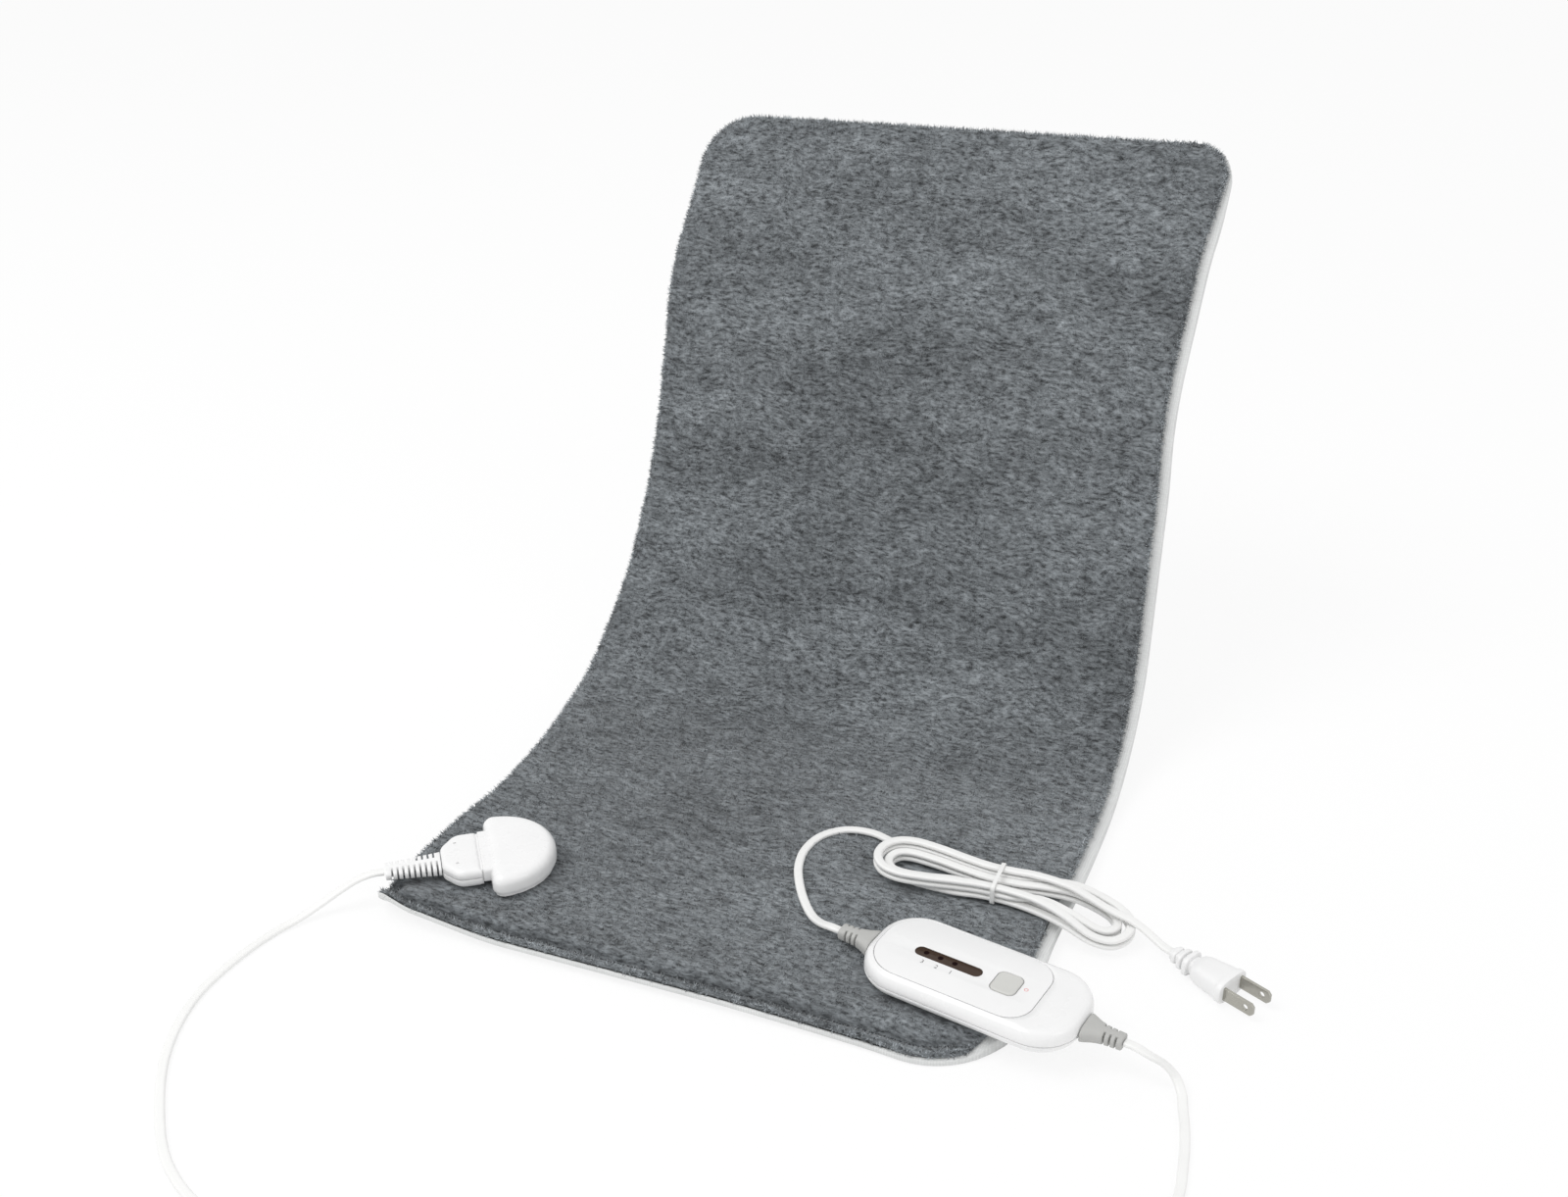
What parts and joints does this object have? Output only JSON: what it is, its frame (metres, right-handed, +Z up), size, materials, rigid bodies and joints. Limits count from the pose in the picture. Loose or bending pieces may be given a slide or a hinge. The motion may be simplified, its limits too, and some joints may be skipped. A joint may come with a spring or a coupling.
{
  "type": "heating pad with controller",
  "caption": "Bendable plush heating pad standing as a seat and back, with a plug-in lead, a push-button controller, and a mains lead in a tied hank.",
  "frame": {"origin": "middle of the pad's and controller's bounding box, on the floor under the pad", "axes": "+X to the pad's right seen from its front edge, +Y from the front edge towards the raised back, +Z up"},
  "size_m": [0.4568, 0.6147, 0.302],
  "materials": {
    "plush_fabric": "matte",
    "band_fabric": "matte",
    "felt": "matte",
    "wire_insulation": "matte",
    "fuse_black": "satin",
    "case_white": "satin",
    "faceplate_white": "satin",
    "cord_white": "satin",
    "relief_grey": "satin",
    "button_grey": "satin",
    "window_brown": "gloss",
    "contact_metal": "polished",
    "screw_steel": "satin",
    "board_green": "satin",
    "component_black": "satin",
    "capacitor_red": "satin",
    "lamp_clear": "gloss",
    "fuse_metal": "polished"
  },
  "bodies": {
    "pad_and_controller": {"back_cover": "band_fabric", "lower_felt_layer": "felt", "heating_wire": "wire_insulation", "thermal_fuse_1": "fuse_black", "thermal_fuse_2": "fuse_black", "upper_felt_layer": "felt", "plush_front_cover": "plush_fabric", "pad_socket_cap": "case_white", "pad_socket_base": "case_white", "pad_socket_pin_1": "contact_metal", "pad_socket_pin_2": "contact_metal", "handset_bottom_shell": "case_white", "handset_top_shell": "case_white", "handset_faceplate": "faceplate_white", "indicator_window": "window_brown", "indicator_led_1": "lamp_clear", "indicator_led_2": "lamp_clear", "indicator_led_3": "lamp_clear", "switch_body": "component_black", "circuit_board": "board_green", "microcontroller": "component_black", "triac": "component_black", "film_capacitor": "capacitor_red", "board_fuse": "fuse_metal", "case_screw_1": "screw_steel", "case_screw_2": "screw_steel", "case_screw_3": "screw_steel", "case_screw_4": "screw_steel", "handset_strain_relief_mains": "relief_grey", "handset_strain_relief_pad": "relief_grey", "pad_lead": "cord_white", "mains_lead_loop": "cord_white", "mains_lead_hank": "cord_white", "hank_tie": "cord_white", "mains_lead_tail": "cord_white", "plug_strain_relief": "cord_white", "plug_body": "cord_white", "plug_blade_1": "contact_metal", "plug_blade_2": "contact_metal"},
    "connector": {"connector_lower_shell": "case_white", "connector_upper_shell": "case_white", "connector_contact_1": "contact_metal", "connector_contact_2": "contact_metal", "connector_strain_relief": "cord_white"},
    "button": {"power_button": "button_grey", "switch_plunger": "component_black"}
  },
  "joints": [
    {"name": "connector_pull", "type": "slide", "parent": "pad_and_controller", "child": "connector", "axis": [-0.8141, -0.5807, 0], "range_m": [0, 0.02], "deforming": ["pad_lead"]},
    {"name": "button_press", "type": "slide", "parent": "pad_and_controller", "child": "button", "axis": [0, 0, -1], "range_m": [0, 0.0008], "stiffness_N_per_m": 400}
  ]
}
